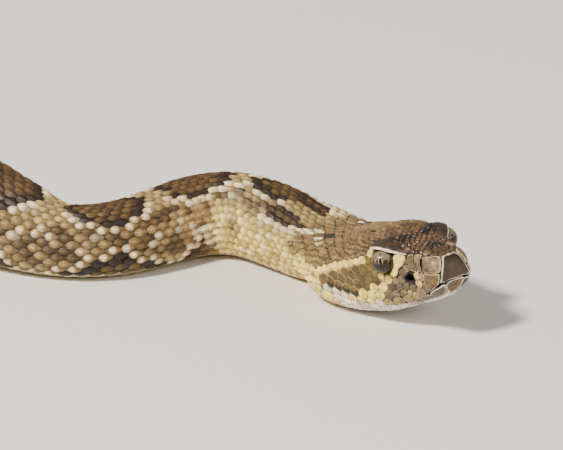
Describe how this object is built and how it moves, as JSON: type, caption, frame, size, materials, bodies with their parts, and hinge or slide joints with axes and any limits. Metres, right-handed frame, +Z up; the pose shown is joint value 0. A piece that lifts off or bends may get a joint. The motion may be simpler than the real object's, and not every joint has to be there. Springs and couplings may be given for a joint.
{
  "type": "western diamondback rattlesnake, still life-size model",
  "caption": "Life-size rattlesnake lying in loose curves on a floor, head raised a little, mouth closed, blunt head, thick trunk, ringed tail and rattle.",
  "frame": {"origin": "on the floor, under the middle of the whole animal's bounding box", "axes": "+Z up from the floor, +X toward the head end of the body's long run, -Y toward the side that the snout is turned to"},
  "size_m": [0.7075, 0.1393, 0.0288],
  "materials": {
    "head_skin": "dry keeled scales, grey-brown crown with pale yellow cheek stripes",
    "jaw_skin": "smooth satin lip and chin scales, cream with brown in front",
    "eye": "glossy clear cover over a dark flecked iris with an upright slit pupil",
    "body_skin": "dry keeled scales, dark brown blotches edged with cream on tan, pale belly plates",
    "tail_skin": "dry keeled scales in black and ash-white rings",
    "rattle": "dry translucent horn, satin"
  },
  "bodies": {
    "root": {"head": "head_skin", "lower_jaw": "jaw_skin", "eye_left": "eye", "eye_right": "eye", "neck": "body_skin", "trunk_1": "body_skin", "trunk_2": "body_skin", "trunk_3": "body_skin", "trunk_4": "body_skin", "trunk_5": "body_skin", "trunk_6": "body_skin", "trunk_7": "body_skin", "trunk_8": "body_skin", "trunk_9": "body_skin", "trunk_10": "body_skin", "tail": "tail_skin", "rattle": "rattle"}
  },
  "joints": []
}
